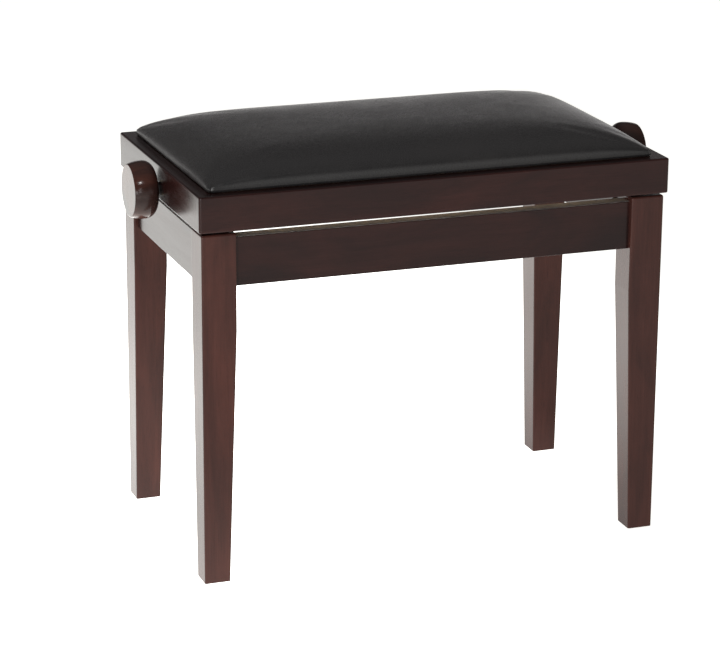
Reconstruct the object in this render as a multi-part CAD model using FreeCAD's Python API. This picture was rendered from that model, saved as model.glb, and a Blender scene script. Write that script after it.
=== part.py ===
import FreeCAD, Part
import math
import os

# Height-adjustable piano bench.  Millimetres, +X along the length, +Y to the back, +Z up,
# origin on the floor under the middle.  The seat is modelled at its lowest position.

V = FreeCAD.Vector
UP = V(0, 0, 1)
OUT = "parts"

# ---- driving dimensions: seat frame and base ----
FRAME_LENGTH = 560.0
FRAME_DEPTH = 322.0
FRAME_TOP = 451.0
FRAME_BOTTOM = 410.0
FRAME_BOARD = 20.0
FRAME_CORNER_R = 3.0
FRAME_EDGE_R = 2.0

LEG_TOP = 407.0
LEG_BOTTOM = 1.0
LEG_HEAD = 40.0
LEG_FOOT = 30.0
LEG_TAPER_START = 295.0
LEG_INSET_X = 3.5
LEG_INSET_Y = 4.0
LEG_EDGE_R = 2.0
LEG_TOP_R = 2.5

APRON_TOP = 401.0
APRON_BOTTOM = 345.0
APRON_THICK = 18.0
APRON_EDGE_R = 1.0
FRONT_APRON_SETBACK = 7.0
SIDE_APRON_SETBACK = 5.0

LEG_BOLT_R = 4.0
LEG_BOLT_Z = 368.0
LEG_BOLT_IN_LEG = 33.0
LEG_BOLT_PROUD = 12.0
LEG_NUT_R = 7.5
LEG_NUT_THICK = 6.5
BLOCK_REACH = 38.0
BLOCK_Z = (348.0, 388.0)
BLOCK_SCREW_X = 212.0
BLOCK_SCREW_Y = 93.0
BLOCK_SCREW_HEAD_R = 4.0
BLOCK_SCREW_HEAD_THICK = 2.5
BLOCK_SCREW_SUNK = 8.0
BLOCK_SCREW_BITE = 11.0
BLOCK_POCKET = 20.0

GLIDE_R = 10.0
GLIDE_THICK = 3.0

# ---- driving dimensions: seat frame's inside ----
BATTENS = {"left": -190.0, "middle": 0.0, "right": 190.0}
BATTEN_HALF = 22.0
BATTEN_BOTTOM = 434.0
GLUE_BLOCK = 28.0
GLUE_BLOCK_Z = (414.0, 447.0)

# ---- driving dimensions: cushion ----
CUSHION_HALF_X = 265.4
CUSHION_HALF_Y = 147.2
CUSHION_CORNER_R = 6.0
BOARD_THICK = 7.0
BOARD_INSET = 3.0
BOARD_CORNER_R = 18.0
COVER_THICK = 1.5
CUSHION_EDGE = 5.2
CUSHION_RISE = 30.1
DOME_POWER_X = 6.4
DOME_ROOT_X = 1.64
DOME_POWER_Y = 3.39
DOME_ROOT_Y = 3.0
DOME_STEPS = 14

# ---- driving dimensions: lift mechanism ----
# Pairs are the inner and outer face along Y, or the lower and upper edge along Z.
ARM_LENGTH = 240.0
PIVOT_X = -120.0
BASE_PIVOT_Z = 396.0
SEAT_PIVOT_Z = 422.5
SEAT_LIFT = 110.0
ARM_HALF_HEIGHT = 9.0
INNER_ARM_Y = (38.0, 42.0)
OUTER_ARM_Y = (45.0, 49.0)
RAIL_WEB_Y = (52.0, 56.0)
RAIL_FLANGE_Y = 76.0
BASE_FLANGE_Y = 76.0
BASE_RAIL_Z = (384.0, 406.0)
BASE_FLANGE_Z = (384.0, 400.0)
SEAT_RAIL_Z = (412.0, 434.0)
SEAT_RAIL_HALF = 250.0
FLANGE_THICK = 3.0
SLOT_HALF_HEIGHT = 6.0
SLOT_END_PLAY = 1.0
SLIDE_PLAY = 0.3
PIN_PLAY = 0.05
PIN_R = 4.0
SHAFT_R = 5.0
SPACER_R = 7.0
SIDE_PLAY = 0.3
END_RING_R = 8.0
SHAFT_PROUD = 4.0
AXLE_PROUD = 1.0
RING_INSET = 1.0
CLIP_INSET = 0.4
CENTRE_SHAFT_PROUD = 1.6
SEAT_PIN_PROUD = 1.5
TRUNNION_DEPTH = 12.0

# ---- driving dimensions: wood screws ----
SCREW_HEAD_R = 3.6
SCREW_SHANK_R = 2.0
SCREW_HEAD_THICK = 2.0
BASE_RAIL_SCREW_Y = (61.0, 71.0)
BASE_RAIL_SCREW_BITE = 12.0
SEAT_RAIL_SCREW_Y = 66.0
SEAT_RAIL_SCREW_LENGTH = 15.0
SEAT_SCREW_Y = (-115.0, 0.0, 115.0)
SEAT_SCREW_HEAD_THICK = 3.0
SEAT_SCREW_SHORT = 1.0
SMALL_HEAD_R = 2.3
SMALL_SHANK_R = 1.4
SMALL_HEAD_THICK = 1.5
SMALL_SCREW_BITE = 12.0

# ---- driving dimensions: spindle and knobs ----
SPINDLE_R = 5.0
SPINDLE_HALF = 306.0
BUSH_R = 7.0
BUSH_TIP_X = 284.3
BUSH_FLANGE_R = 12.0
BUSH_FLANGE_THICK = 4.0
COLLAR_R = 9.0
COLLAR_THICK = 8.0
COLLAR_PLAY = 2.3
GRUB_R = 2.0
GRUB_SUNK = 0.5
KNOB_BACK_X = 285.0
KNOB_BELLY_X = 297.5
KNOB_FACE_X = 314.5
KNOB_R = 33.0
KNOB_BACK_ROUND = 12.5
KNOB_SIDE_ROUND = 50.0
KNOB_FACE_EDGE_R = 1.5
INSERT_R = 9.0
INSERT_LENGTH = 21.0
NUT_BAR_X = 10.0
NUT_BAR_Y = 36.0
NUT_BAR_Z = 11.0
NUT_BAR_CHAMFER = 1.5
NUT_R = 8.0
NUT_FLANGE_R = 10.5
NUT_FLANGE_THICK = 3.0

# ---- derived places ----
FRAME_HALF_X = FRAME_LENGTH / 2
FRAME_HALF_Y = FRAME_DEPTH / 2
FRAME_IN_X = FRAME_HALF_X - FRAME_BOARD
FRAME_IN_Y = FRAME_HALF_Y - FRAME_BOARD
LEG_OUT_X = FRAME_HALF_X - LEG_INSET_X
LEG_OUT_Y = FRAME_HALF_Y - LEG_INSET_Y
LEG_IN_X = LEG_OUT_X - LEG_HEAD
LEG_IN_Y = LEG_OUT_Y - LEG_HEAD
APRON_OUT_Y = LEG_OUT_Y - FRONT_APRON_SETBACK
APRON_IN_Y = APRON_OUT_Y - APRON_THICK
APRON_OUT_X = LEG_OUT_X - SIDE_APRON_SETBACK
APRON_IN_X = APRON_OUT_X - APRON_THICK
SEAT_BOARD_TOP = FRAME_TOP + BOARD_THICK
SEAT_EDGE_Z = FRAME_TOP + CUSHION_EDGE
BOARD_HALF_X = CUSHION_HALF_X - BOARD_INSET
BOARD_HALF_Y = CUSHION_HALF_Y - BOARD_INSET

REST_ANGLE = math.asin((SEAT_PIVOT_Z - BASE_PIVOT_Z) / ARM_LENGTH)
TOP_ANGLE = math.asin((SEAT_PIVOT_Z - BASE_PIVOT_Z + SEAT_LIFT) / ARM_LENGTH)
SLIDE_REST_X = PIVOT_X + ARM_LENGTH * math.cos(REST_ANGLE)
SLIDE_TOP_X = PIVOT_X + ARM_LENGTH * math.cos(TOP_ANGLE)
CENTRE_X = (PIVOT_X + SLIDE_REST_X) / 2
CENTRE_Z = (BASE_PIVOT_Z + SEAT_PIVOT_Z) / 2

SIDES_X = {"left": -1, "right": 1}
SIDES_Y = {"front": -1, "back": 1}
QUARTERS = [(sx, sy) for sx in (-1, 1) for sy in (-1, 1)]

# How far a cutter reaches past what it cuts.
BEYOND = 5.0


# ---- small helpers ----
def save(shape, name):
    shape.exportStep(os.path.join(OUT, name + ".step"))
    print(name, "volume", round(shape.Volume / 1000.0, 2), "cm3, valid", shape.isValid())


def block(x, y, z):
    """Box between two values on each axis, given in either order."""
    x, y, z = sorted(x), sorted(y), sorted(z)
    size = (x[1] - x[0], y[1] - y[0], z[1] - z[0])
    return Part.makeBox(size[0], size[1], size[2], V(x[0], y[0], z[0]))


def rod(radius, start, end):
    """Cylinder between two points."""
    start, end = V(*start), V(*end)
    return Part.makeCylinder(radius, (end - start).Length, start, end - start)


def along_x(radius, x0, x1):
    """Cylinder on the spindle's line."""
    return rod(radius, (x0, 0, SEAT_PIVOT_Z), (x1, 0, SEAT_PIVOT_Z))


def fuse_all(shapes):
    return shapes[0].multiFuse(shapes[1:]).removeSplitter() if len(shapes) > 1 else shapes[0]


def group(shapes):
    """Separate solids kept together in one node."""
    solids = [solid for shape in shapes for solid in shape.Solids]
    return Part.makeCompound(solids)


def mirrored(shape, sx, sy):
    """Copy of a shape made for the +X +Y quarter, moved to the quarter (sx, sy)."""
    result = shape
    if sx < 0:
        result = result.mirror(V(0, 0, 0), V(1, 0, 0))
    if sy < 0:
        result = result.mirror(V(0, 0, 0), V(0, 1, 0))
    return result


def both(shape):
    """The shape and its mirror image across the XZ plane."""
    return [shape, mirrored(shape, 1, -1)]


def both_ends(shape):
    """The shape and its mirror image across the YZ plane."""
    return [shape, mirrored(shape, -1, 1)]


def everywhere(shape):
    """The shape of the +X +Y quarter in all four quarters."""
    return [mirrored(shape, sx, sy) for sx, sy in QUARTERS]


def edges_where(shape, test):
    return [edge for edge in shape.Edges if test(edge.BoundBox)]


def upright(box):
    """True for an edge that runs along Z."""
    return box.ZLength > 1


def rounded_square(x0, y0, size, radius, z):
    """Wire of a square with rounded corners whose low corner is at x0, y0."""
    k = radius * (1 - math.sqrt(0.5))
    x1, y1 = x0 + size, y0 + size
    runs = [
        ((x0 + radius, y0), (x1 - radius, y0), (x1 - k, y0 + k)),
        ((x1, y0 + radius), (x1, y1 - radius), (x1 - k, y1 - k)),
        ((x1 - radius, y1), (x0 + radius, y1), (x0 + k, y1 - k)),
        ((x0, y1 - radius), (x0, y0 + radius), (x0 + k, y0 + k)),
    ]
    edges = []
    for i, (start, end, bend) in enumerate(runs):
        after = runs[(i + 1) % 4][0]
        edges.append(Part.makeLine(V(*start, z), V(*end, z)))
        edges.append(Part.Arc(V(*end, z), V(*bend, z), V(*after, z)).toShape())
    return Part.Wire(edges)


def screw(head_r, shank_r, head, shank, tip):
    """Countersunk-style screw: a head disc, then a shank, along three points on one axis."""
    return rod(head_r, head, shank).fuse(rod(shank_r, shank, tip)).removeSplitter()


def hexagon(radius, start, end):
    """Hexagonal prism between two points; radius is to the corners."""
    start, end = V(*start), V(*end)
    axis = (end - start).normalize()
    side = axis.cross(UP).normalize()
    third = axis.cross(side)
    points = []
    for i in range(7):
        turn = math.radians(60 * (i % 6))
        points.append(start + side * (radius * math.cos(turn)) + third * (radius * math.sin(turn)))
    length = (V(*end) - start).Length
    return Part.Face(Part.makePolygon(points)).extrude(axis * length)


# ---- base: legs ----
def leg_solid():
    """Leg of the +X +Y corner: flat outer faces, tapered on the two inner faces."""
    foot_x, foot_y = LEG_OUT_X - LEG_FOOT, LEG_OUT_Y - LEG_FOOT
    wires = [
        rounded_square(foot_x, foot_y, LEG_FOOT, LEG_EDGE_R, LEG_BOTTOM),
        rounded_square(LEG_IN_X, LEG_IN_Y, LEG_HEAD, LEG_EDGE_R, LEG_TAPER_START),
    ]
    lower = Part.makeLoft(wires, True, True)
    upper = Part.Face(wires[1]).extrude(UP * (LEG_TOP - LEG_TAPER_START))
    leg = lower.fuse(upper).removeSplitter()
    rim = edges_where(leg, lambda b: b.ZMin > LEG_TOP - 0.01)
    return leg.makeFillet(LEG_TOP_R, rim)


def along_bolt(distance):
    """Point on the leg bolt's axis, at a distance outward from the leg's inner corner."""
    step = distance / math.sqrt(2)
    return (LEG_IN_X + step, LEG_IN_Y + step, LEG_BOLT_Z)


def block_depth():
    """Distance from the leg's inner corner to the corner block's slanted face."""
    slant = (LEG_IN_X - BLOCK_REACH) + APRON_IN_Y
    return (LEG_IN_X + LEG_IN_Y - slant) / math.sqrt(2)


def corner_block_solid():
    """Wooden block behind the +X +Y leg, between the two aprons."""
    slant = (LEG_IN_X - BLOCK_REACH) + APRON_IN_Y
    outline = [
        (LEG_IN_X, APRON_IN_Y),
        (LEG_IN_X - BLOCK_REACH, APRON_IN_Y),
        (APRON_IN_X, slant - APRON_IN_X),
        (APRON_IN_X, LEG_IN_Y),
        (LEG_IN_X, LEG_IN_Y),
        (LEG_IN_X, APRON_IN_Y),
    ]
    wire = Part.makePolygon([V(x, y, BLOCK_Z[0]) for x, y in outline])
    return Part.Face(wire).extrude(UP * (BLOCK_Z[1] - BLOCK_Z[0]))


def block_screws():
    """Two screws of the +X +Y corner block, one into each apron, and their pockets."""
    x, y, z = BLOCK_SCREW_X, BLOCK_SCREW_Y, LEG_BOLT_Z
    head_r, head = BLOCK_SCREW_HEAD_R, BLOCK_SCREW_HEAD_THICK
    seat_y, seat_x = APRON_IN_Y - BLOCK_SCREW_SUNK, APRON_IN_X - BLOCK_SCREW_SUNK
    tip_y, tip_x = APRON_IN_Y + BLOCK_SCREW_BITE, APRON_IN_X + BLOCK_SCREW_BITE
    into_front = screw(head_r, SCREW_SHANK_R, (x, seat_y - head, z), (x, seat_y, z), (x, tip_y, z))
    into_side = screw(head_r, SCREW_SHANK_R, (seat_x - head, y, z), (seat_x, y, z), (tip_x, y, z))
    pockets = [
        rod(head_r, (x, seat_y - BLOCK_POCKET, z), (x, seat_y, z)),
        rod(head_r, (seat_x - BLOCK_POCKET, y, z), (seat_x, y, z)),
    ]
    return into_front, into_side, pockets


def build_base():
    bolt_in, bolt_out = along_bolt(LEG_BOLT_IN_LEG), along_bolt(-block_depth() - LEG_BOLT_PROUD)
    bolt = rod(LEG_BOLT_R, bolt_out, bolt_in)
    nut_seat = along_bolt(-block_depth())
    nut_end = along_bolt(-block_depth() - LEG_NUT_THICK)
    nut = hexagon(LEG_NUT_R, nut_seat, nut_end).cut(bolt)
    into_front, into_side, pockets = block_screws()
    glide_at = (LEG_OUT_X - LEG_FOOT / 2, LEG_OUT_Y - LEG_FOOT / 2)
    glide = rod(GLIDE_R, (*glide_at, 0), (*glide_at, GLIDE_THICK))

    leg = leg_solid().cut(bolt).cut(glide)
    corner = corner_block_solid().cut(fuse_all([bolt, into_front, into_side] + pockets))
    for y_name, sy in SIDES_Y.items():
        for x_name, sx in SIDES_X.items():
            place = y_name + "_" + x_name
            save(mirrored(leg, sx, sy), "leg_" + place)
            save(mirrored(corner, sx, sy), "corner_block_" + place)

    save(group(everywhere(bolt)), "leg_bolts")
    save(group(everywhere(nut)), "leg_bolt_nuts")
    save(group(everywhere(into_front) + everywhere(into_side)), "corner_block_screws")
    save(group(everywhere(glide)), "foot_glides")

    rail_screws = sum([everywhere(base_rail_screw(y)) for y in BASE_RAIL_SCREW_Y], [])
    long_cut = fuse_all(everywhere(into_front))
    side_cut = fuse_all(everywhere(into_side) + rail_screws)
    long_board = block((-LEG_IN_X, LEG_IN_X), (APRON_IN_Y, APRON_OUT_Y), (APRON_BOTTOM, APRON_TOP))
    long_edges = edges_where(long_board, lambda b: b.YMin > APRON_OUT_Y - 0.01 and b.XLength > 1)
    long_board = long_board.makeFillet(APRON_EDGE_R, long_edges)
    side_board = block((APRON_IN_X, APRON_OUT_X), (-LEG_IN_Y, LEG_IN_Y), (APRON_BOTTOM, APRON_TOP))
    side_edges = edges_where(side_board, lambda b: b.XMin > APRON_OUT_X - 0.01 and b.YLength > 1)
    side_board = side_board.makeFillet(APRON_EDGE_R, side_edges)
    for name, sign in SIDES_Y.items():
        save(mirrored(long_board, 1, sign).cut(long_cut), "apron_" + name)
    for name, sign in SIDES_X.items():
        save(mirrored(side_board, sign, 1).cut(side_cut), "apron_" + name)
    save(group(rail_screws), "base_rail_screws")


# ---- lift mechanism ----
def base_rail_screw(y):
    """Screw through a base rail's end foot into the right apron."""
    z = sum(BASE_FLANGE_Z) / 2
    face = APRON_IN_X - FLANGE_THICK
    return screw(SCREW_HEAD_R, SCREW_SHANK_R, (face - SCREW_HEAD_THICK, y, z), (face, y, z),
                 (APRON_IN_X + BASE_RAIL_SCREW_BITE, y, z))


def slot_cutter(z):
    """Long slot through a rail's web, in which a slide bush travels."""
    x0, x1 = SLIDE_TOP_X - SLOT_END_PLAY, SLIDE_REST_X + SLOT_END_PLAY
    y0, y1 = RAIL_WEB_Y[0] - 1, RAIL_WEB_Y[1] + 1
    middle = block((x0, x1), (y0, y1), (z - SLOT_HALF_HEIGHT, z + SLOT_HALF_HEIGHT))
    ends = [rod(SLOT_HALF_HEIGHT, (x, y0, z), (x, y1, z)) for x in (x0, x1)]
    return fuse_all([middle] + ends)


def base_rail_solid():
    """Back base rail: slotted web with a screw foot at each end."""
    web = block((-APRON_IN_X, APRON_IN_X), RAIL_WEB_Y, BASE_RAIL_Z)
    foot = block((APRON_IN_X - FLANGE_THICK, APRON_IN_X), (RAIL_WEB_Y[1], BASE_FLANGE_Y), BASE_FLANGE_Z)
    rail = fuse_all([web] + both_ends(foot))
    shaft = rod(SHAFT_R, (PIVOT_X, 0, BASE_PIVOT_Z), (PIVOT_X, BASE_FLANGE_Y, BASE_PIVOT_Z))
    screws = sum([both_ends(base_rail_screw(y)) for y in BASE_RAIL_SCREW_Y], [])
    return rail.cut(fuse_all([shaft, slot_cutter(BASE_PIVOT_Z)])).cut(group(screws))


def seat_rail_solid():
    """Back seat rail: slotted web with a flange under the seat battens."""
    web = block((-SEAT_RAIL_HALF, SEAT_RAIL_HALF), RAIL_WEB_Y, SEAT_RAIL_Z)
    flange = block((-SEAT_RAIL_HALF, SEAT_RAIL_HALF), (RAIL_WEB_Y[1], RAIL_FLANGE_Y),
                   (SEAT_RAIL_Z[1] - FLANGE_THICK, SEAT_RAIL_Z[1]))
    pin = rod(PIN_R, (PIVOT_X, 0, SEAT_PIVOT_Z), (PIVOT_X, RAIL_FLANGE_Y, SEAT_PIVOT_Z))
    return fuse_all([web, flange]).cut(fuse_all([pin, slot_cutter(SEAT_PIVOT_Z)]))


def arm_solid(y, start, end, holes):
    """Flat steel arm with round ends; holes lists (point, radius)."""
    direction = V(end[0] - start[0], 0, end[1] - start[1])
    angle = math.degrees(math.atan2(direction.z, direction.x))
    bar = Part.makeBox(direction.Length, y[1] - y[0], 2 * ARM_HALF_HEIGHT, V(0, y[0], -ARM_HALF_HEIGHT))
    bar.rotate(V(0, 0, 0), V(0, -1, 0), angle)
    bar.translate(V(start[0], 0, start[1]))
    ends = [rod(ARM_HALF_HEIGHT, (p[0], y[0], p[1]), (p[0], y[1], p[1])) for p in (start, end)]
    arm = fuse_all([bar] + ends)
    drills = [rod(r, (p[0], y[0] - 1, p[1]), (p[0], y[1] + 1, p[1])) for p, r in holes]
    return arm.cut(fuse_all(drills))


def build_mechanism():
    base_fixed, seat_fixed = (PIVOT_X, BASE_PIVOT_Z), (PIVOT_X, SEAT_PIVOT_Z)
    base_slide, seat_slide = (SLIDE_REST_X, BASE_PIVOT_Z), (SLIDE_REST_X, SEAT_PIVOT_Z)
    centre = (CENTRE_X, CENTRE_Z)

    inner = arm_solid(INNER_ARM_Y, base_fixed, seat_slide,
                      [(base_fixed, SHAFT_R + PIN_PLAY), (centre, PIN_R), (seat_slide, PIN_R + PIN_PLAY)])
    outer = arm_solid(OUTER_ARM_Y, seat_fixed, base_slide,
                      [(seat_fixed, PIN_R + PIN_PLAY), (centre, PIN_R + PIN_PLAY), (base_slide, PIN_R)])
    seat_screws = [seat_rail_screw(x) for x in BATTENS.values()]
    for name, sign in SIDES_Y.items():
        save(mirrored(base_rail_solid(), 1, sign), "base_rail_" + name)
        save(mirrored(seat_rail_solid().cut(group(seat_screws)), 1, sign), "seat_rail_" + name)
        save(mirrored(inner, 1, sign), "inner_arm_" + name)
        save(mirrored(outer, 1, sign), "outer_arm_" + name)
    save(group(sum([both(s) for s in seat_screws], [])), "seat_rail_screws")

    def along_y(radius, at, y0, y1):
        return rod(radius, (at[0], y0, at[1]), (at[0], y1, at[1]))

    def sleeve(outer_r, inner_r, at, y0, y1):
        return along_y(outer_r, at, y0, y1).cut(along_y(inner_r, at, y0, y1))

    shaft_end = RAIL_WEB_Y[1] + SHAFT_PROUD
    save(along_y(SHAFT_R, base_fixed, -shaft_end, shaft_end), "base_pivot_shaft")
    between = INNER_ARM_Y[0] - SIDE_PLAY
    inner_sleeve = sleeve(SPACER_R, SHAFT_R, base_fixed, -between, between)
    outer_sleeve = sleeve(SPACER_R, SHAFT_R, base_fixed, INNER_ARM_Y[1] + SIDE_PLAY, RAIL_WEB_Y[0])
    save(group([inner_sleeve] + both(outer_sleeve)), "base_pivot_sleeves")
    ring = sleeve(END_RING_R, SHAFT_R, base_fixed, RAIL_WEB_Y[1], shaft_end - RING_INSET)
    save(group(both(ring)), "base_pivot_rings")

    centre_end = OUTER_ARM_Y[1] + CENTRE_SHAFT_PROUD
    save(along_y(PIN_R, centre, -centre_end, centre_end), "centre_pivot_shaft")
    washer = sleeve(SPACER_R, PIN_R, centre, INNER_ARM_Y[1], OUTER_ARM_Y[0] - SIDE_PLAY)
    clip = sleeve(SPACER_R, PIN_R, centre, OUTER_ARM_Y[1] + SIDE_PLAY, centre_end - CLIP_INSET)
    save(group(both(washer) + both(clip)), "centre_pivot_washers")

    axle_end = RAIL_WEB_Y[1] + AXLE_PROUD
    bush_r = SLOT_HALF_HEIGHT - SLIDE_PLAY
    bush_y = (OUTER_ARM_Y[1], axle_end)
    save(along_y(PIN_R, base_slide, -axle_end, axle_end), "lower_slide_axle")
    save(group(both(sleeve(bush_r, PIN_R, base_slide, *bush_y))), "lower_slide_bushes")

    pin_in = NUT_BAR_Y - TRUNNION_DEPTH
    shoulder = (INNER_ARM_Y[1] + SIDE_PLAY, RAIL_WEB_Y[0] - SIDE_PLAY)
    trunnion = along_y(PIN_R, seat_slide, pin_in, axle_end)
    trunnion = trunnion.fuse(along_y(bush_r, seat_slide, *shoulder)).removeSplitter()
    save(group(both(trunnion)), "trunnion_pins")
    save(group(both(sleeve(bush_r, PIN_R, seat_slide, shoulder[1], axle_end))), "upper_slide_bushes")

    near_face, face = SLIDE_REST_X - NUT_BAR_X, SLIDE_REST_X + NUT_BAR_X
    seat_bore = along_x(NUT_R, near_face - BEYOND, face + BEYOND)
    bar = block((near_face, face), (-NUT_BAR_Y, NUT_BAR_Y),
                (SEAT_PIVOT_Z - NUT_BAR_Z, SEAT_PIVOT_Z + NUT_BAR_Z))
    bar = bar.makeChamfer(NUT_BAR_CHAMFER, edges_where(bar, lambda b: b.YLength > 1))
    save(bar.cut(group([seat_bore] + both(trunnion))), "nut_bar")
    nut = along_x(NUT_R, near_face, face).fuse(along_x(NUT_FLANGE_R, face, face + NUT_FLANGE_THICK))
    thread = along_x(SPINDLE_R + PIN_PLAY, near_face - BEYOND, face + NUT_FLANGE_THICK + BEYOND)
    save(nut.removeSplitter().cut(thread), "spindle_nut")

    seat_pin = along_y(PIN_R, seat_fixed, OUTER_ARM_Y[0] - SEAT_PIN_PROUD, RAIL_WEB_Y[1] + AXLE_PROUD)
    seat_pin = seat_pin.fuse(along_y(SPACER_R, seat_fixed, OUTER_ARM_Y[1] + SIDE_PLAY, RAIL_WEB_Y[0]))
    save(group(both(seat_pin.removeSplitter())), "seat_pivot_pins")


# ---- spindle and knobs ----
def knob_side(x, belly_round):
    """Radius of the knob at x, on the arc of radius belly_round that has its crest at the belly."""
    return KNOB_R - belly_round + math.sqrt(belly_round ** 2 - (x - KNOB_BELLY_X) ** 2)


def knob_arc(x0, x1, belly_round):
    """Part of the knob's outline between x0 and x1."""
    points = [V(x, 0, knob_side(x, belly_round)) for x in (x0, (x0 + x1) / 2, x1)]
    return Part.Arc(*points).toShape()


def knob_solid():
    """Right knob: a turned bun with a flat outer face, rolled in to its back."""
    back, face, belly, edge_r = KNOB_BACK_X, KNOB_FACE_X, KNOB_BELLY_X, KNOB_FACE_EDGE_R
    profile = [
        Part.makeLine(V(back, 0, 0), V(back, 0, knob_side(back, KNOB_BACK_ROUND))),
        knob_arc(back, belly, KNOB_BACK_ROUND),
        knob_arc(belly, face, KNOB_SIDE_ROUND),
        Part.makeLine(V(face, 0, knob_side(face, KNOB_SIDE_ROUND)), V(face, 0, 0)),
        Part.makeLine(V(face, 0, 0), V(back, 0, 0)),
    ]
    knob = Part.Face(Part.Wire(profile)).revolve(V(0, 0, 0), V(1, 0, 0), 360)
    if knob.Volume < 0:
        knob.reverse()
    rim = edges_where(knob, lambda b: b.XMin > face - 0.01 and b.YLength > KNOB_R)
    knob = knob.makeFillet(edge_r, rim)
    knob.translate(V(0, 0, SEAT_PIVOT_Z))
    return knob.cut(along_x(INSERT_R, back, back + INSERT_LENGTH))


def bearing_solid():
    """Flanged bush in the right end board."""
    inner_face = FRAME_IN_X - BUSH_FLANGE_THICK
    flange = along_x(BUSH_FLANGE_R, inner_face, FRAME_IN_X)
    bush = along_x(BUSH_R, inner_face, BUSH_TIP_X)
    bore = along_x(SPINDLE_R + PIN_PLAY, inner_face - BEYOND, BUSH_TIP_X + BEYOND)
    return flange.fuse(bush).removeSplitter().cut(bore)


def bearing_screw():
    """Small screw through the bush's flange into the right end board."""
    y, z = (BUSH_R + BUSH_FLANGE_R) / 2, SEAT_PIVOT_Z
    face = FRAME_IN_X - BUSH_FLANGE_THICK
    return screw(SMALL_HEAD_R, SMALL_SHANK_R, (face - SMALL_HEAD_THICK, y, z), (face, y, z),
                 (FRAME_IN_X + SMALL_SCREW_BITE, y, z))


def collar_and_grub():
    """Thrust collar beside the right bush, and the grub screw that locks it."""
    face = FRAME_IN_X - BUSH_FLANGE_THICK - COLLAR_PLAY
    middle = face - COLLAR_THICK / 2
    grub_top = SEAT_PIVOT_Z + COLLAR_R - GRUB_SUNK
    spindle = along_x(SPINDLE_R, face - COLLAR_THICK - BEYOND, face + BEYOND)
    hole = rod(GRUB_R, (middle, 0, SEAT_PIVOT_Z), (middle, 0, grub_top + BEYOND))
    collar = along_x(COLLAR_R, face - COLLAR_THICK, face).cut(spindle).cut(hole)
    grub = rod(GRUB_R, (middle, 0, SEAT_PIVOT_Z), (middle, 0, grub_top)).cut(spindle)
    return collar, grub


def build_spindle():
    save(along_x(SPINDLE_R, -SPINDLE_HALF, SPINDLE_HALF), "spindle_rod")
    screws = both(bearing_screw())
    bearing = bearing_solid().cut(group(screws))
    collar, grub = collar_and_grub()
    insert = along_x(INSERT_R, KNOB_BACK_X, KNOB_BACK_X + INSERT_LENGTH)
    insert = insert.cut(along_x(SPINDLE_R, KNOB_BACK_X - BEYOND, SPINDLE_HALF + BEYOND))
    knob = knob_solid()
    for name, sign in SIDES_X.items():
        save(mirrored(knob, sign, 1), "knob_" + name)
        save(mirrored(bearing, sign, 1), "spindle_bearing_" + name)
    save(group(both_ends(collar)), "thrust_collars")
    save(group(both_ends(grub)), "collar_grub_screws")
    save(group(both_ends(insert)), "knob_inserts")
    screws = sum([both_ends(s) for s in screws], [])
    save(group(screws), "bearing_screws")
    return screws


# ---- seat ----
def seat_rail_screw(x):
    """Screw up through the back seat rail's flange into a batten."""
    y = SEAT_RAIL_SCREW_Y
    low = SEAT_RAIL_Z[1] - FLANGE_THICK
    return screw(SCREW_HEAD_R, SCREW_SHANK_R, (x, y, low - SCREW_HEAD_THICK), (x, y, low),
                 (x, y, low + SEAT_RAIL_SCREW_LENGTH))


def seat_board_screw(x, y):
    """Screw up through a batten into the seat board, its head sunk in the batten."""
    neck = BATTEN_BOTTOM + SEAT_SCREW_HEAD_THICK
    return screw(SCREW_HEAD_R, SCREW_SHANK_R, (x, y, BATTEN_BOTTOM), (x, y, neck),
                 (x, y, SEAT_BOARD_TOP - SEAT_SCREW_SHORT))


def mitred_boards(ring):
    """Back and right boards, cut from the frame ring along its 45 degree mitres."""
    inside = (FRAME_IN_X - BEYOND, FRAME_IN_Y - BEYOND)
    outside = (FRAME_HALF_X + BEYOND, FRAME_HALF_Y + BEYOND)
    back = [(-outside[0], outside[1]), outside, inside, (-inside[0], inside[1])]
    right = [(outside[0], -outside[1]), outside, inside, (inside[0], -inside[1])]
    boards = []
    for outline in (back, right):
        points = [V(x, y, FRAME_BOTTOM - BEYOND) for x, y in outline + outline[:1]]
        wedge = Part.Face(Part.makePolygon(points)).extrude(UP * (FRAME_TOP - FRAME_BOTTOM + 2 * BEYOND))
        boards.append(ring.common(wedge))
    return boards


def frame_ring():
    """The four boards of the seat frame as one ring, its outer edges rounded."""
    outer = block((-FRAME_HALF_X, FRAME_HALF_X), (-FRAME_HALF_Y, FRAME_HALF_Y), (FRAME_BOTTOM, FRAME_TOP))
    outer = outer.makeFillet(FRAME_CORNER_R, edges_where(outer, upright))
    outer = outer.makeFillet(FRAME_EDGE_R, edges_where(outer, lambda b: b.ZLength < 0.01))
    inner = block((-FRAME_IN_X, FRAME_IN_X), (-FRAME_IN_Y, FRAME_IN_Y),
                  (FRAME_BOTTOM - BEYOND, FRAME_TOP + BEYOND))
    return outer.cut(inner)


def dome_height(u, v):
    """Height of the padding above its edge, as a share of the rise; u and v run from -1 to 1."""
    across_x = (1 - abs(u) ** DOME_POWER_X) ** (1 / DOME_ROOT_X)
    across_y = (1 - abs(v) ** DOME_POWER_Y) ** (1 / DOME_ROOT_Y)
    return across_x * across_y


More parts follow.
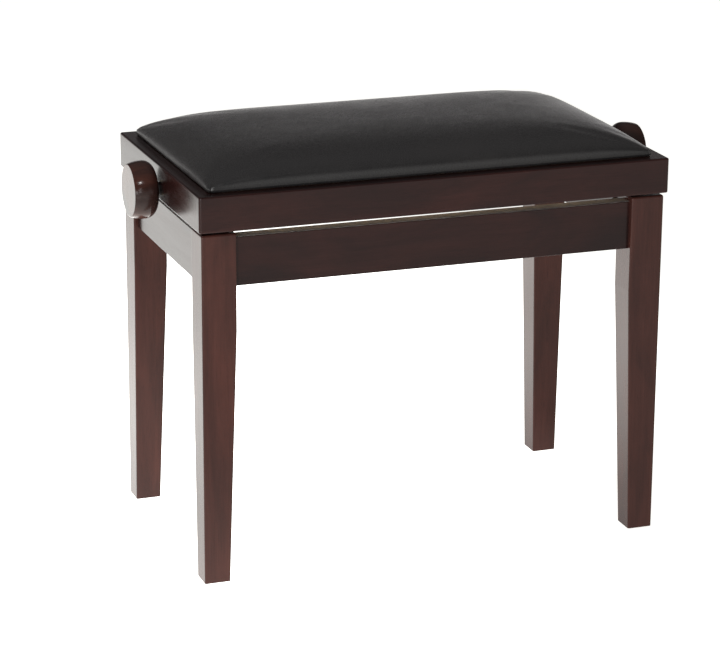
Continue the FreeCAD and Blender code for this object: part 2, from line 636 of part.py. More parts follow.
def dome_solid(inset, low, lift):
    """Domed pad from the level low, drawn in by inset, with its edge lowered by lift."""
    half_x, half_y = CUSHION_HALF_X - inset, CUSHION_HALF_Y - inset
    edge = SEAT_EDGE_Z - lift
    shares = [math.sin(math.pi / 2 * i / DOME_STEPS) for i in range(-DOME_STEPS, DOME_STEPS + 1)]
    grid = []
    for u in shares:
        grid.append([V(half_x * u, half_y * v, edge + CUSHION_RISE * dome_height(u, v)) for v in shares])
    surface = Part.BSplineSurface()
    surface.interpolate(grid)
    top = surface.toShape()
    corners = [V(sx * half_x, sy * half_y, 0) for sx, sy in ((-1, -1), (1, -1), (1, 1), (-1, 1))]
    faces = [top]
    for i in range(4):
        a, b = corners[i], corners[(i + 1) % 4]
        points = [V(a.x, a.y, low), V(b.x, b.y, low), V(b.x, b.y, edge), V(a.x, a.y, edge), V(a.x, a.y, low)]
        faces.append(Part.Face(Part.makePolygon(points)))
    base = [V(c.x, c.y, low) for c in corners]
    faces.append(Part.Face(Part.makePolygon(base + base[:1])))
    shell = Part.Shell(faces)
    shell.sewShape()
    solid = Part.Solid(shell)
    if solid.Volume < 0:
        solid.reverse()
    outline = block((-half_x, half_x), (-half_y, half_y), (low, edge + CUSHION_RISE + BEYOND))
    outline = outline.makeFillet(CUSHION_CORNER_R - inset, edges_where(outline, upright))
    return solid.common(outline)


def build_seat(bearing_screws):
    bushes = both_ends(along_x(BUSH_R, FRAME_IN_X - BEYOND, FRAME_HALF_X + BEYOND))
    ring = frame_ring().cut(group(bushes + bearing_screws))
    back_board, right_board = mitred_boards(ring)
    for name, sign in SIDES_Y.items():
        save(mirrored(back_board, 1, sign), "frame_" + name)
    for name, sign in SIDES_X.items():
        save(mirrored(right_board, sign, 1), "frame_" + name)

    low, high = GLUE_BLOCK_Z
    corner = [V(FRAME_IN_X, FRAME_IN_Y, low), V(FRAME_IN_X - GLUE_BLOCK, FRAME_IN_Y, low),
              V(FRAME_IN_X, FRAME_IN_Y - GLUE_BLOCK, low)]
    glue = Part.Face(Part.makePolygon(corner + corner[:1])).extrude(UP * (high - low))
    save(group(everywhere(glue)), "frame_glue_blocks")

    board_screws = [seat_board_screw(x, y) for x in BATTENS.values() for y in SEAT_SCREW_Y]
    rail_screws = sum([both(seat_rail_screw(x)) for x in BATTENS.values()], [])
    for name, x in BATTENS.items():
        batten = block((x - BATTEN_HALF, x + BATTEN_HALF), (-FRAME_IN_Y, FRAME_IN_Y),
                       (BATTEN_BOTTOM, FRAME_TOP))
        save(batten.cut(group(board_screws + rail_screws)), "seat_batten_" + name)
    save(group(board_screws), "seat_board_screws")

    board = block((-BOARD_HALF_X, BOARD_HALF_X), (-BOARD_HALF_Y, BOARD_HALF_Y), (FRAME_TOP, SEAT_BOARD_TOP))
    board = board.makeFillet(BOARD_CORNER_R, edges_where(board, upright))
    save(board.cut(group(board_screws)), "seat_board")
    save(dome_solid(COVER_THICK, FRAME_TOP, COVER_THICK).cut(board), "cushion_foam")
    hollow = dome_solid(COVER_THICK, FRAME_TOP - BEYOND, COVER_THICK)
    save(dome_solid(0, FRAME_TOP, 0).cut(hollow).cut(board), "cushion_cover")


def main():
    os.makedirs(OUT, exist_ok=True)
    build_base()
    build_mechanism()
    bearing_screws = build_spindle()
    build_seat(bearing_screws)


main()
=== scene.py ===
import math

import bpy
from mathutils import Matrix, Vector


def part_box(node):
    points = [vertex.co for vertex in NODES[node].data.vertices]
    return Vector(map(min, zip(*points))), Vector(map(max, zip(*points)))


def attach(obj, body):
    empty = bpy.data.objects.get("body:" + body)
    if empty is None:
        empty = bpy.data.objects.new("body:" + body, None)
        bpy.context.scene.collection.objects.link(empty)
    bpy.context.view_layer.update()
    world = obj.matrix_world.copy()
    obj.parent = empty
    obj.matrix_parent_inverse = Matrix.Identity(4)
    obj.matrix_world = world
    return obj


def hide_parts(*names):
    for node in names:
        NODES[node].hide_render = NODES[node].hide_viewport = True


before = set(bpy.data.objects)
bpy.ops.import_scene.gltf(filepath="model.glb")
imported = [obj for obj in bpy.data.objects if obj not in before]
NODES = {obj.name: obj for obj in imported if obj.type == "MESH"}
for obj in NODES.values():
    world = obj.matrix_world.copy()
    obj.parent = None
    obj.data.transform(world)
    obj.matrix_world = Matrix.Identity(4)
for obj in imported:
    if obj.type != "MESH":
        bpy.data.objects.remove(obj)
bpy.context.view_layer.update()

# Looks of a height-adjustable piano bench. Metres, in the CAD frame: +X along the bench,
# +Y to the back, +Z up, the floor at z = 0.

MM = 0.001


# ---------------------------------------------------------------------------------------
# camera
# ---------------------------------------------------------------------------------------
CAMERA_AT = Vector((-1.12535, -2.98498, 1.22801))
CAMERA_YAW = 20.05
CAMERA_PITCH = 17.37
CAMERA_ROLL = 0.36
LENS_MM = 141.36


def make_camera():
    """Camera at the front left, a little above the seat, looking to the back right."""
    yaw, pitch, roll = (math.radians(a) for a in (CAMERA_YAW, CAMERA_PITCH, CAMERA_ROLL))
    ahead = Vector((math.sin(yaw) * math.cos(pitch), math.cos(yaw) * math.cos(pitch), -math.sin(pitch)))
    level = Vector((math.cos(yaw), -math.sin(yaw), 0))
    upright = level.cross(ahead)
    side = math.cos(roll) * level + math.sin(roll) * upright
    top = -math.sin(roll) * level + math.cos(roll) * upright
    data = bpy.data.cameras.new("camera")
    data.sensor_width = 36.0
    data.lens = LENS_MM
    data.clip_end = 60.0
    camera = bpy.data.objects.new("camera", data)
    camera.matrix_world = Matrix.Translation(CAMERA_AT) @ Matrix((side, top, -ahead)).transposed().to_4x4()
    bpy.context.scene.collection.objects.link(camera)
    bpy.context.scene.camera = camera


# ---------------------------------------------------------------------------------------
# node helpers
# ---------------------------------------------------------------------------------------
class Shader:
    """A material with one Principled shader, and short calls that add nodes to it."""

    def __init__(self, name, **sockets):
        self.material = bpy.data.materials.new(name)
        self.material.use_nodes = True
        self.tree = self.material.node_tree
        self.tree.nodes.clear()
        self.output = self.node("ShaderNodeOutputMaterial")
        self.surface = self.node("ShaderNodeBsdfPrincipled")
        self.link(self.surface.outputs[0], self.output.inputs["Surface"])
        for key, value in sockets.items():
            self.surface.inputs[key.replace("_", " ")].default_value = value
        texture = self.node("ShaderNodeTexCoord")
        self.place, self.normal = texture.outputs["Object"], texture.outputs["Normal"]

    def node(self, kind, **settings):
        made = self.tree.nodes.new(kind)
        for key, value in settings.items():
            setattr(made, key, value)
        return made

    def link(self, source, target):
        self.tree.links.new(source, target)

    def scaled(self, scale):
        mapping = self.node("ShaderNodeMapping")
        mapping.inputs["Scale"].default_value = scale
        self.link(self.place, mapping.inputs["Vector"])
        return mapping.outputs[0]

    def noise(self, vector, scale, detail=3.0, rough=0.5, distortion=0.0):
        made = self.node("ShaderNodeTexNoise")
        settings = {"Scale": scale, "Detail": detail, "Roughness": rough, "Distortion": distortion}
        for key, value in settings.items():
            made.inputs[key].default_value = value
        self.link(vector, made.inputs["Vector"])
        return made.outputs["Fac"]

    def ramp(self, source, stops):
        made = self.node("ShaderNodeValToRGB")
        elements = made.color_ramp.elements
        while len(elements) < len(stops):
            elements.new(0.5)
        for element, (position, colour) in zip(elements, stops):
            element.position = position
            element.color = (*colour, 1.0) if isinstance(colour, tuple) else (colour, colour, colour, 1.0)
        self.link(source, made.inputs["Fac"])
        return made.outputs["Color"]

    def spread(self, source, low, high, start=0.0, end=1.0):
        made = self.node("ShaderNodeMapRange")
        for key, value in (("From Min", start), ("From Max", end), ("To Min", low), ("To Max", high)):
            made.inputs[key].default_value = value
        self.link(source, made.inputs["Value"])
        return made.outputs["Result"]

    def math(self, operation, first, second):
        made = self.node("ShaderNodeMath", operation=operation)
        for socket, value in zip(made.inputs, (first, second)):
            if isinstance(value, (int, float)):
                socket.default_value = value
            else:
                self.link(value, socket)
        return made.outputs[0]

    def blend(self, first, second, amount, mode="MULTIPLY"):
        made = self.node("ShaderNodeMix", data_type="RGBA", blend_type=mode)
        for socket, value in ((made.inputs[6], first), (made.inputs[7], second), (made.inputs[0], amount)):
            if isinstance(value, tuple):
                socket.default_value = (*value, 1.0)
            elif isinstance(value, (int, float)):
                socket.default_value = value
            else:
                self.link(value, socket)
        return made.outputs[2]

    def bump(self, height, distance, strength=1.0, under=None):
        made = self.node("ShaderNodeBump")
        made.inputs["Strength"].default_value = strength
        made.inputs["Distance"].default_value = distance
        self.link(height, made.inputs["Height"])
        if under is not None:
            self.link(under, made.inputs["Normal"])
        return made.outputs[0]

    def finish(self, colour=None, roughness=None, normal=None):
        for key, source in (("Base Color", colour), ("Roughness", roughness), ("Normal", normal)):
            if source is not None:
                self.link(source, self.surface.inputs[key])
        return self.material


def across(axis, along, side):
    """Scale that stretches a texture along one axis, so that it reads as grain."""
    return tuple(along if name == axis else side for name in "XYZ")


# ---------------------------------------------------------------------------------------
# materials
# ---------------------------------------------------------------------------------------
# Colours are linear, with the darker of two tones first.
BOARD_DARK, BOARD_WARM = (0.0125, 0.0056, 0.0053), (0.0260, 0.0086, 0.0072)
LEG_DARK, LEG_WARM = (0.0340, 0.0125, 0.0100), (0.0560, 0.0185, 0.0140)
KNOB_DARK, KNOB_WARM = (0.0170, 0.0095, 0.0085), (0.0700, 0.0230, 0.0150)
# Pale grey painted on the up-facing tops of the aprons: painted light, for the light that reaches them
# through the gap under the seat.
PAINTED_LIT_TOP_DARK, PAINTED_LIT_TOP_PALE = (0.48, 0.48, 0.46), (0.66, 0.66, 0.64)
BEECH_DEEP, BEECH_PALE = (0.36, 0.22, 0.11), (0.52, 0.36, 0.21)
PLYWOOD_DEEP, PLYWOOD_PALE = (0.40, 0.26, 0.15), (0.50, 0.35, 0.21)
LEATHER_DARK, LEATHER_PALE = (0.0150, 0.0146, 0.0150), (0.0215, 0.0202, 0.0202)
ENAMEL_BLACK, ZINC_GREY = (0.014, 0.014, 0.015), (0.58, 0.58, 0.60)
STEEL_GREY, BRASS_YELLOW = (0.10, 0.10, 0.105), (0.72, 0.50, 0.20)
# How strongly each finish mirrors, as an index of refraction.
THIN_LACQUER, THICK_LACQUER = 1.26, 1.30
LEATHER_IOR = 1.42
PEBBLES_PER_METRE = 780.0
PEBBLE_DEPTH = 0.12 * MM
PORE_DEPTH = 0.03 * MM
# Roughness of the stained wood.
SATIN, POLISHED, DULL = 0.20, 0.15, 0.50


def lacquered_wood(name, axis, dark, warm, roughness, ior, painted_lit_top=False):
    """Close-grained wood stained dark red-brown under a thin lacquer, its grain along one axis. With the
    top flag set, faces that point up are painted pale grey as painted light.
    """
    s = Shader(name + "_" + axis, IOR=ior)
    middle = tuple((a + b) / 2 for a, b in zip(dark, warm))
    cloud = s.noise(s.scaled(across(axis, 0.30, 1.0)), 20.0, 3.0, 0.5, 0.8)
    figure = s.noise(s.scaled(across(axis, 0.07, 1.0)), 120.0, 4.0, 0.6, 0.5)
    hair = s.noise(s.scaled(across(axis, 0.03, 1.0)), 620.0, 3.0, 0.6)
    pore = s.noise(s.scaled(across(axis, 0.045, 1.0)), 1300.0, 1.0, 0.4)
    colour = s.ramp(cloud, [(0.34, dark), (0.50, middle), (0.68, warm)])
    colour = s.blend(colour, s.ramp(figure, [(0.3, 0.88), (0.7, 1.12)]), 1.0)
    colour = s.blend(colour, s.ramp(hair, [(0.3, 0.93), (0.7, 1.06)]), 1.0)
    colour = s.blend(colour, s.ramp(pore, [(0.28, 0.6), (0.38, 1.0)]), 0.5)
    # Painted light: faces that point up are painted pale grey, standing in for the light that falls on the
    # apron tops through the gap under the seat.
    if painted_lit_top:
        facing = s.node("ShaderNodeSeparateXYZ")
        s.link(s.normal, facing.inputs[0])
        upward = s.spread(facing.outputs["Z"], 0.0, 1.0, 0.75, 0.95)
        lit_top_colour = s.ramp(hair, [(0.3, PAINTED_LIT_TOP_DARK), (0.7, PAINTED_LIT_TOP_PALE)])
        colour = s.blend(colour, lit_top_colour, upward, "MIX")
    rough = s.spread(figure, roughness - 0.02, roughness + 0.04, 0.3, 0.7)
    relief = s.bump(s.ramp(pore, [(0.28, 0.0), (0.40, 1.0)]), PORE_DEPTH, 0.25)
    relief = s.bump(s.noise(s.scaled(across(axis, 0.2, 1.0)), 45.0, 2.0), 0.0004, 0.10, relief)
    return s.finish(colour, rough, relief)


def bare_wood(name, axis, deep, pale):
    """Unfinished pale wood of the hidden parts, its grain along one axis."""
    s = Shader(name + "_" + axis, IOR=1.4)
    bands = s.noise(s.scaled(across(axis, 0.06, 1.0)), 95.0, 4.0, 0.6, 0.8)
    fleck = s.noise(s.scaled(across(axis, 0.05, 1.0)), 900.0, 2.0, 0.5)
    colour = s.ramp(bands, [(0.3, deep), (0.7, pale)])
    colour = s.blend(colour, s.ramp(fleck, [(0.3, 0.72), (0.5, 1.0)]), 0.8)
    rough = s.spread(fleck, 0.55, 0.72, 0.3, 0.7)
    return s.finish(colour, rough, s.bump(fleck, 0.0001, 0.5))


def leather():
    """Fine-grained black imitation leather with a soft satin sheen."""
    s = Shader("black_leather", IOR=LEATHER_IOR)
    s.surface.inputs["Sheen Weight"].default_value = 0.04
    s.surface.inputs["Sheen Roughness"].default_value = 0.5
    s.surface.inputs["Sheen Tint"].default_value = (1.0, 0.95, 0.93, 1.0)
    push = s.node("ShaderNodeVectorMath", operation="SCALE")
    s.link(s.noise(s.place, 420.0, 2.0, 0.5), push.inputs[0])
    push.inputs["Scale"].default_value = 0.0012
    bent = s.node("ShaderNodeVectorMath", operation="ADD")
    s.link(s.place, bent.inputs[0])
    s.link(push.outputs[0], bent.inputs[1])
    cells = s.node("ShaderNodeTexVoronoi", feature="DISTANCE_TO_EDGE")
    cells.inputs["Scale"].default_value = PEBBLES_PER_METRE
    s.link(bent.outputs[0], cells.inputs["Vector"])
    pebble = s.ramp(cells.outputs["Distance"], [(0.0, 0.0), (0.28, 1.0)])
    cloud = s.noise(s.place, 14.0, 3.0, 0.55)
    colour = s.ramp(cloud, [(0.3, LEATHER_DARK), (0.7, LEATHER_PALE)])
    colour = s.blend(colour, s.ramp(pebble, [(0.0, 0.6), (1.0, 1.0)]), 0.6)
    rough = s.math("ADD", s.spread(pebble, 0.32, 0.24), s.spread(cloud, -0.03, 0.04, 0.3, 0.7))
    relief = s.bump(pebble, PEBBLE_DEPTH, 0.4)
    relief = s.bump(s.noise(s.place, 55.0, 2.0), 0.0006, 0.10, relief)
    return s.finish(colour, rough, relief)


def metal(name, colour, roughness, metallic=1.0, grain=900.0):
    """Metal or enamel with a fine directional finish and slight handling marks."""
    s = Shader(name, Metallic=metallic, IOR=1.5)
    fine = s.noise(s.scaled(across("X", 0.08, 1.0)), grain, 3.0, 0.6)
    patch = s.noise(s.place, 35.0, 3.0, 0.6)
    dull = tuple(c * 0.82 for c in colour)
    bright = tuple(min(c * 1.12, 1.0) for c in colour)
    tint = s.ramp(patch, [(0.3, dull), (0.7, bright)])
    rough = s.math("ADD", s.spread(fine, roughness - 0.06, roughness + 0.06, 0.3, 0.7),
                   s.spread(patch, -0.05, 0.06, 0.3, 0.7))
    return s.finish(tint, rough, s.bump(fine, 0.00003, 0.3))


def plastic():
    """Moulded black nylon."""
    s = Shader("black_nylon", IOR=1.5)
    speck = s.noise(s.place, 1400.0, 2.0, 0.5)
    colour = s.ramp(speck, [(0.3, 0.011), (0.7, 0.017)])
    return s.finish(colour, s.spread(speck, 0.38, 0.5, 0.3, 0.7), s.bump(speck, 0.00004, 0.4))


def dress(names, material):
    """Gives the named CAD nodes one material."""
    for name in names:
        data = NODES[name].data
        data.materials.clear()
        data.materials.append(material)


def named(*starts):
    """The CAD nodes whose names begin with any of these."""
    return [name for name in sorted(NODES) if name.startswith(starts)]


def dress_wood():
    """Stained wood on all that shows, bare wood on the battens and the seat board."""
    legs = lacquered_wood("leg_wood", "Z", LEG_DARK, LEG_WARM, SATIN, THIN_LACQUER)
    dress(named("leg_front", "leg_back"), legs)
    for axis, sides in (("X", ("front", "back")), ("Y", ("left", "right"))):
        boards = lacquered_wood("board_wood", axis, BOARD_DARK, BOARD_WARM, SATIN, THIN_LACQUER)
        aprons = lacquered_wood("apron_wood", axis, BOARD_DARK, BOARD_WARM, SATIN, THIN_LACQUER,
                                painted_lit_top=True)
        dress(["frame_" + side for side in sides], boards)
        dress(["apron_" + side for side in sides], aprons)
    knobs = lacquered_wood("knob_wood", "X", KNOB_DARK, KNOB_WARM, POLISHED, THICK_LACQUER)
    dress(["knob_left", "knob_right"], knobs)
    stained = lacquered_wood("stained_block", "Z", BOARD_DARK, BOARD_WARM, DULL, THIN_LACQUER)
    dress(named("corner_block_front", "corner_block_back", "frame_glue"), stained)
    dress(named("seat_batten"), bare_wood("beech", "Y", BEECH_DEEP, BEECH_PALE))
    dress(["seat_board"], bare_wood("plywood", "X", PLYWOOD_DEEP, PLYWOOD_PALE))


def dress_hardware():
    """Black enamel on the rails and arms, zinc on the fasteners, brass, steel and nylon."""
    enamel = metal("black_enamel", ENAMEL_BLACK, 0.36, metallic=0.0, grain=700.0)
    zinc = metal("zinc", ZINC_GREY, 0.34)
    dress(named("base_rail_front", "base_rail_back", "seat_rail_front", "seat_rail_back"), enamel)
    dress(named("inner_arm", "outer_arm", "nut_bar"), enamel)
    dress(named("leg_bolt", "corner_block_screws", "base_rail_screws", "seat_rail_screws"), zinc)
    dress(named("seat_board_screws", "bearing_screws", "collar_grub", "thrust"), zinc)
    dress(named("base_pivot", "centre_pivot", "lower_slide_axle", "trunnion_pins", "seat_pivot"), zinc)
    dress(["spindle_rod"], metal("dark_steel", STEEL_GREY, 0.32))
    dress(["spindle_nut", "knob_inserts"], metal("brass", BRASS_YELLOW, 0.28))
    dress(named("spindle_bearing", "lower_slide_bushes", "upper_slide_bushes", "foot_glides"), plastic())


# ---------------------------------------------------------------------------------------
# cushion
# ---------------------------------------------------------------------------------------
FOAM_LOW, FOAM_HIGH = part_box("cushion_cover")
HALF_X, HALF_Y = FOAM_HIGH.x, FOAM_HIGH.y
SEAT_Z = FOAM_LOW.z
CROWN_Z = FOAM_HIGH.z
EDGE_RISE = 5.2 * MM
# Shape of the dome: how flat it stays along x and y, and how steeply it falls at the edge.
POWER_X, ROOT_X, POWER_Y, ROOT_Y = 6.4, 1.64, 3.39, 3.0
CORNER_R = 6.0 * MM
# The edge: its gap over the seat, how far it tucks under and bulges, and its rings of faces.
EDGE_GAP = 0.3 * MM
EDGE_TUCK = 0.9 * MM
EDGE_BULGE = 0.5 * MM
EDGE_RINGS = 5
# The gathered crease at each corner, with a raised fold on both sides of it.
CREASE_DEPTH = 1.3 * MM
CREASE_HALF = 1.1 * MM
CREASE_LENGTH = 20.0 * MM
CREASE_DROP = 0.6
FOLD_OFFSET = 2.2
FOLD_SHARE = 0.45
# The cover's grid, and how far it stands inside the CAD cover.
COLUMNS, ROWS = 110, 70
COVER_INSET = 0.4 * MM
# The cloth run: room left for the swell, its cap, the border that is held, and the settings.
SWELL = 1.6 * MM
SWELL_CAP = 2.4 * MM
HELD_BORDER = 4.0 * MM
CLOTH_FRAMES = 20
CLOTH = {
    "quality": 6,
    "mass": 0.25,
    "tension_stiffness": 18.0,
    "compression_stiffness": 14.0,
    "shear_stiffness": 8.0,
    "bending_stiffness": 5.0,
    "use_pressure": True,
    "uniform_pressure_force": 4.0,
}


def dome(u, v):
    """Height of the padding over its edge at shares u and v of the half sizes, from 0 to 1."""
    return (1 - abs(u) ** POWER_X) ** (1 / ROOT_X) * (1 - abs(v) ** POWER_Y) ** (1 / ROOT_Y)


def shares(count):
    """Shares from -1 to 1, closer together near the ends, where the cover turns down."""
    return [math.sin(math.pi / 2 * (2 * i / count - 1)) for i in range(count + 1)]


def rounded(x, y, half_x, half_y):
    """Draws the outermost points of the rectangle in to its rounded corners."""
    over_x, over_y = abs(x) - (half_x - CORNER_R), abs(y) - (half_y - CORNER_R)
    if over_x <= 0 or over_y <= 0:
        return x, y
    reach = math.hypot(over_x, over_y)
    longest = max(over_x, over_y)
    keep = longest / reach
    return (math.copysign(half_x - CORNER_R + over_x * keep, x),
            math.copysign(half_y - CORNER_R + over_y * keep, y))


def pinch(x, y, half_x, half_y):
    """Depth of the gathered crease that runs up each corner of the cover, at a point in plan."""
    from_x, from_y = half_x - abs(x), half_y - abs(y)
    off, up = (from_x - from_y) / math.sqrt(2), (from_x + from_y) / math.sqrt(2)
    fade = max(0.0, 1 - up / CREASE_LENGTH)
    groove = math.exp(-(off / CREASE_HALF) ** 2)
    folds = math.exp(-((abs(off) - FOLD_OFFSET * CREASE_HALF) / CREASE_HALF) ** 2)
    return CREASE_DEPTH * fade * (groove - FOLD_SHARE * folds)


def creased(x, y, z, half_x, half_y, drop):
    """The point drawn in and down by the corner crease."""
    depth = pinch(x, y, half_x, half_y)
    inward = depth / math.sqrt(2)
    return x - math.copysign(inward, x), y - math.copysign(inward, y), z - drop * depth


def drawn_in(x, y, amount):
    """The point moved towards the middle, by the whole amount at the edge of the pad."""
    return x * (1 - amount / (HALF_X - COVER_INSET)), y * (1 - amount / (HALF_Y - COVER_INSET))


def pad_layer(columns, rows, rise, top):
    """Points of the domed top, or of the flat underside, which is drawn in by EDGE_TUCK."""
    half_x, half_y = HALF_X - COVER_INSET, HALF_Y - COVER_INSET
    points = []
    for v in shares(rows):
        for u in shares(columns):
            x, y = rounded(u * half_x, v * half_y, half_x, half_y)
            if top:
                z = SEAT_Z + EDGE_RISE + rise * dome(u, v)
                points.append(creased(x, y, z, half_x, half_y, CREASE_DROP))
            else:
                x, y = drawn_in(x, y, EDGE_TUCK)
                points.append(creased(x, y, SEAT_Z + EDGE_GAP, half_x, half_y, 0.0))
    return points


def rim_of(columns, rows):
    """Indices of a layer's outermost points, once round."""
    wide = columns + 1
    front = list(range(wide))
    right = [j * wide + columns for j in range(1, rows + 1)]
    back = [rows * wide + i for i in range(columns - 1, -1, -1)]
    left = [j * wide for j in range(rows - 1, 0, -1)]
    return front + right + back + left


def closed_pad(columns, rows, rise):
    """Closed quad mesh: a domed top, a bulging edge that tucks under, and a flat underside."""
    wide, layer = columns + 1, (columns + 1) * (rows + 1)
    verts = pad_layer(columns, rows, rise, True) + pad_layer(columns, rows, rise, False)
    faces = []
    for j in range(rows):
        for i in range(columns):
            a = j * wide + i
            faces.append((a, a + 1, a + wide + 1, a + wide))
            faces.append((layer + a, layer + a + wide, layer + a + wide + 1, layer + a + 1))
    rim = rim_of(columns, rows)
    above = rim
    for ring in range(1, EDGE_RINGS + 1):
        share = ring / EDGE_RINGS
        if ring == EDGE_RINGS:
            below = [layer + a for a in rim]
        else:
            below = list(range(len(verts), len(verts) + len(rim)))
            tuck = EDGE_TUCK * (1 - math.sqrt(1 - share ** 2)) - EDGE_BULGE * math.sin(math.pi * share)
            for a in rim:
                x, y, z = verts[a]
                verts.append((*drawn_in(x, y, tuck), z + (SEAT_Z + EDGE_GAP - z) * share))
        for k in range(len(rim)):
            n = (k + 1) % len(rim)
            faces.append((below[k], below[n], above[n], above[k]))
        above = below
    mesh = bpy.data.meshes.new("cushion")
    mesh.from_pydata(verts, [], faces)
    mesh.update()
    return mesh, layer


def inflate(cushion, top_count):
    """Lets the cover swell over its padding with a short cloth run, held along its edge."""
    start = [v.co.copy() for v in cushion.data.vertices]
    held = cushion.vertex_groups.new(name="held")
    for index, co in enumerate(start):
        near_edge = min(HALF_X - abs(co.x), HALF_Y - abs(co.y)) < HELD_BORDER
        if index >= top_count or near_edge:
            held.add([index], 1.0, "REPLACE")
    cloth = cushion.modifiers.new("cloth", "CLOTH")
    for key, value in CLOTH.items():
        setattr(cloth.settings, key, value)
    cloth.settings.effector_weights.gravity = 0.0
    cloth.settings.vertex_group_mass = held.name
    cloth.collision_settings.use_collision = False
    scene = bpy.context.scene
    cloth.point_cache.frame_start = 1
    cloth.point_cache.frame_end = CLOTH_FRAMES
    for step in range(1, CLOTH_FRAMES + 1):
        scene.frame_set(step)
    graph = bpy.context.evaluated_depsgraph_get()
    blown = cushion.evaluated_get(graph).data
    moved = [blown.vertices[i].co - start[i] for i in range(len(start))]
    cushion.modifiers.remove(cloth)
    scene.frame_set(1)
    furthest = max((m.length for m in moved), default=0.0)
    for vertex, base, step in zip(cushion.data.vertices, start, moved):
        if furthest > 0:
            step = step * min(1.0, SWELL_CAP / furthest)
        vertex.co = base + step
    cushion.vertex_groups.clear()
    cushion.data.update()


def apply_modifier(piece, kind, **settings):
    """Bakes one modifier into the piece's mesh."""
    modifier = piece.modifiers.new(kind.lower(), kind)
    for key, value in settings.items():
        setattr(modifier, key, value)
    graph = bpy.context.evaluated_depsgraph_get()
    made = bpy.data.meshes.new_from_object(piece.evaluated_get(graph))
    piece.modifiers.clear()
    piece.data = made


def make_cushion():
    """The padded cushion, in place of the plain cover and foam."""
    mesh, top_count = closed_pad(COLUMNS, ROWS, CROWN_Z - SEAT_Z - EDGE_RISE - SWELL)
    cushion = bpy.data.objects.new("cushion", mesh)
    bpy.context.scene.collection.objects.link(cushion)
    inflate(cushion, top_count)
    apply_modifier(cushion, "SUBSURF", levels=1, render_levels=1)
    for face in cushion.data.polygons:
        face.use_smooth = True
    cushion.data.materials.append(leather())
    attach(cushion, "seat")
    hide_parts("cushion_cover", "cushion_foam")


# ---------------------------------------------------------------------------------------
# stage and light
# ---------------------------------------------------------------------------------------
FLOOR_HALF = 24.0
FLOOR_DROP = 0.4 * MM
FLOOR_GLOW = 0.83
FLOOR_TINT, WORLD_TINT = (1.0, 1.0, 0.965), (1.0, 0.965, 0.965)
# Each pool of light on the floor: its middle, its inner and outer radius, and its strength.
FLOOR_POOLS = [
    ((-0.70, 1.45, 0.0), 0.35, 1.10, 1.55),
    ((-0.44, 0.10, 0.0), 0.30, 0.75, 1.30),
    ((0.05, 0.72, 0.0), 0.25, 0.75, 1.90),
]
# Each lamp: its place, what it points at, its width and height, and its power.
LAMPS = {
    "key": ((-0.91, -2.86, 3.00), (0.0, 0.0, 0.4), 0.40, 0.40, 26.0),
    "strip": ((-1.08, -3.60, 1.05), (0.0, 0.0, 0.4), 0.24, 1.40, 7.0),
    "fill": ((-1.25, -1.70, 0.45), (-0.1, 0.0, 0.4), 0.60, 0.70, 19.0),
}
# The world's brightness against the height of the direction: 0 is level, 1 is straight up. The
# lean makes the bright part reach a little higher on the +X side.
WORLD_STOPS = [(0.0, 0.80), (0.08, 0.42), (0.13, 0.20), (0.19, 0.15), (0.26, 0.15), (0.32, 0.025),
               (0.50, 0.11), (1.0, 0.36)]
WORLD_LEAN = -0.12
WORLD_STRENGTH = 1.1


def tinted(value, tint):
    """Slightly warm white of a given brightness."""
    return (*(value * share for share in tint), 1.0)


def make_floor():
    """Level, pale, self-lit floor, with brighter pools behind the bench and on its left."""
    mesh = bpy.data.meshes.new("floor")
    corners = [(-FLOOR_HALF, -FLOOR_HALF, 0), (FLOOR_HALF, -FLOOR_HALF, 0),
               (FLOOR_HALF, FLOOR_HALF, 0), (-FLOOR_HALF, FLOOR_HALF, 0)]
    mesh.from_pydata(corners, [], [(0, 1, 2, 3)])
    floor = bpy.data.objects.new("floor", mesh)
    floor.location.z = -FLOOR_DROP
    bpy.context.scene.collection.objects.link(floor)
    s = Shader("pale_floor", IOR=1.3, Roughness=0.9)
    s.surface.inputs["Base Color"].default_value = tinted(0.82, FLOOR_TINT)
    s.surface.inputs["Emission Color"].default_value = tinted(1.0, FLOOR_TINT)
    glow = FLOOR_GLOW
    for middle, inner, outer, strength in FLOOR_POOLS:
        away = s.node("ShaderNodeVectorMath", operation="DISTANCE")
        s.link(s.place, away.inputs[0])
        away.inputs[1].default_value = middle
        glow = s.math("ADD", s.spread(away.outputs["Value"], strength, 0.0, inner, outer), glow)
    s.link(glow, s.surface.inputs["Emission Strength"])
    mesh.materials.append(s.material)


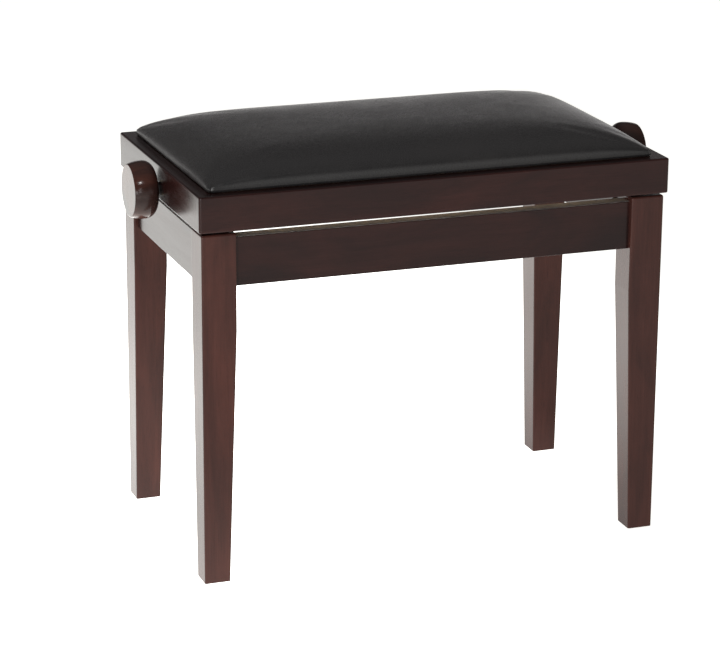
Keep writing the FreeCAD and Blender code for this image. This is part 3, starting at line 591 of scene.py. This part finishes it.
def make_world():
    """White studio: bright round the horizon, darkest a third of the way up, dim overhead."""
    world = bpy.data.worlds.new("studio")
    world.use_nodes = True
    tree = world.node_tree
    tree.nodes.clear()
    output = tree.nodes.new("ShaderNodeOutputWorld")
    back = tree.nodes.new("ShaderNodeBackground")
    place = tree.nodes.new("ShaderNodeTexCoord")
    parts = tree.nodes.new("ShaderNodeSeparateXYZ")
    ramp = tree.nodes.new("ShaderNodeValToRGB")
    while len(ramp.color_ramp.elements) < len(WORLD_STOPS):
        ramp.color_ramp.elements.new(0.5)
    for element, (position, value) in zip(ramp.color_ramp.elements, WORLD_STOPS):
        element.position = position
        element.color = tinted(value, WORLD_TINT)
    tree.links.new(place.outputs["Generated"], parts.inputs[0])
    lean = tree.nodes.new("ShaderNodeMath")
    lean.operation = "MULTIPLY_ADD"
    lean.inputs[1].default_value = WORLD_LEAN
    rightward = tree.nodes.new("ShaderNodeMath")
    rightward.operation = "MAXIMUM"
    rightward.inputs[1].default_value = 0.0
    tree.links.new(parts.outputs["X"], rightward.inputs[0])
    tree.links.new(rightward.outputs[0], lean.inputs[0])
    tree.links.new(parts.outputs["Z"], lean.inputs[2])
    tree.links.new(lean.outputs[0], ramp.inputs["Fac"])
    tree.links.new(ramp.outputs["Color"], back.inputs["Color"])
    back.inputs["Strength"].default_value = WORLD_STRENGTH
    tree.links.new(back.outputs[0], output.inputs["Surface"])
    bpy.context.scene.world = world


def make_lights():
    """A high key lamp, a narrow strip near the camera and a low fill at the front left."""
    for name, (place, target, width, height, power) in LAMPS.items():
        data = bpy.data.lights.new(name, "AREA")
        data.shape = "ELLIPSE"
        data.size = width
        data.size_y = height
        data.energy = power
        lamp = bpy.data.objects.new(name, data)
        lamp.location = place
        lamp.rotation_mode = "QUATERNION"
        lamp.rotation_quaternion = (Vector(target) - Vector(place)).to_track_quat("-Z", "Y")
        bpy.context.scene.collection.objects.link(lamp)


make_camera()
make_world()
make_floor()
make_lights()
dress_wood()
dress_hardware()
make_cushion()
bpy.context.scene.view_settings.view_transform = "Standard"
